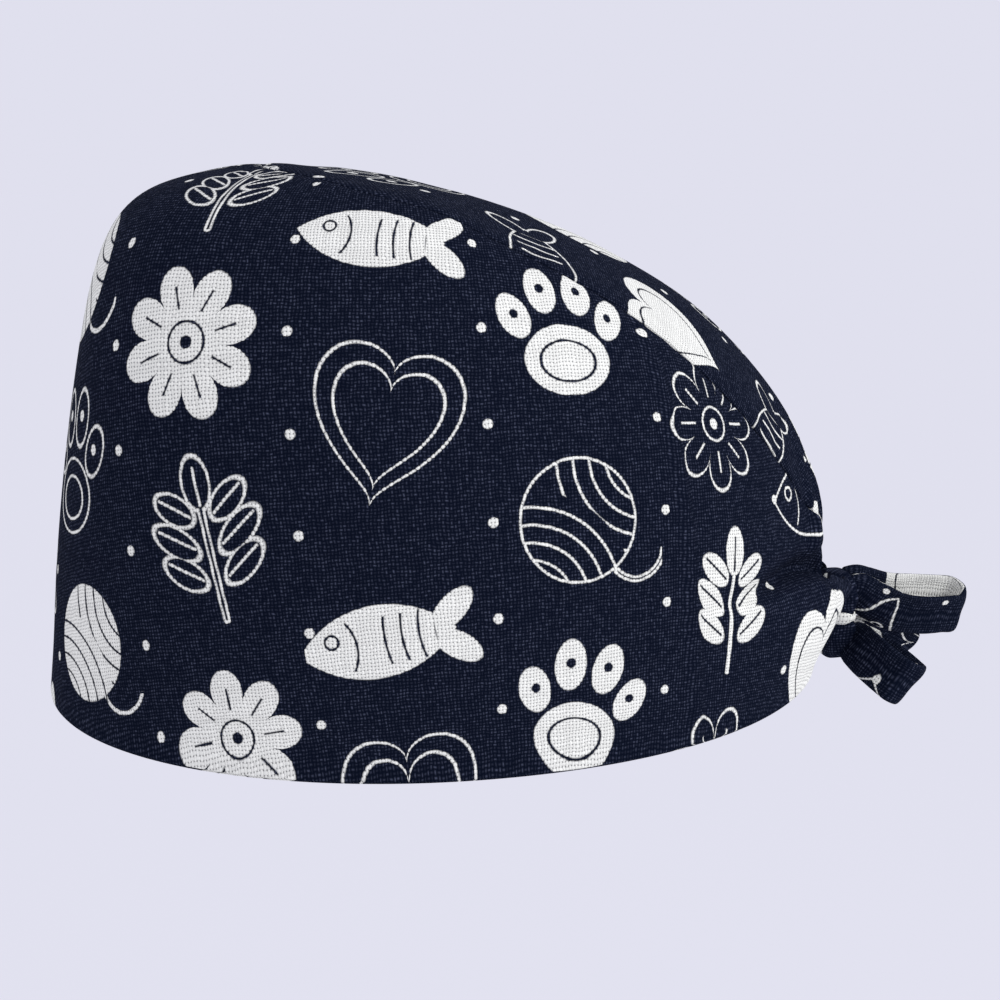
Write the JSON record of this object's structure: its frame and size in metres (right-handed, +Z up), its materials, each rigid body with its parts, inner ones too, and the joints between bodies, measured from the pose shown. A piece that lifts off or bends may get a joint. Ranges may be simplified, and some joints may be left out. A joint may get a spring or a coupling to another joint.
{
  "type": "scrub cap",
  "caption": "Tie-back cloth scrub cap in its worn shape: tall side band, domed crown panel gathered at the back, and strap ends tied in a bow.",
  "frame": {"origin": "centre of the head opening, in the plane of the lower hem", "axes": "+Z up through the crown, -Y the way the wearer faces, +X the wearer's left"},
  "size_m": [0.162, 0.2558, 0.1464],
  "materials": {
    "cap_cloth": null,
    "tie_cloth": "the same cloth, folded and sewn into a flat strap"
  },
  "bodies": {
    "root": {"side_band": "cap_cloth", "crown_panel": "cap_cloth", "bow_knot": "tie_cloth", "bow_loop_upper": "tie_cloth", "bow_loop_lower": "tie_cloth", "tie_end_left": "tie_cloth", "tie_end_right": "tie_cloth"}
  },
  "joints": []
}
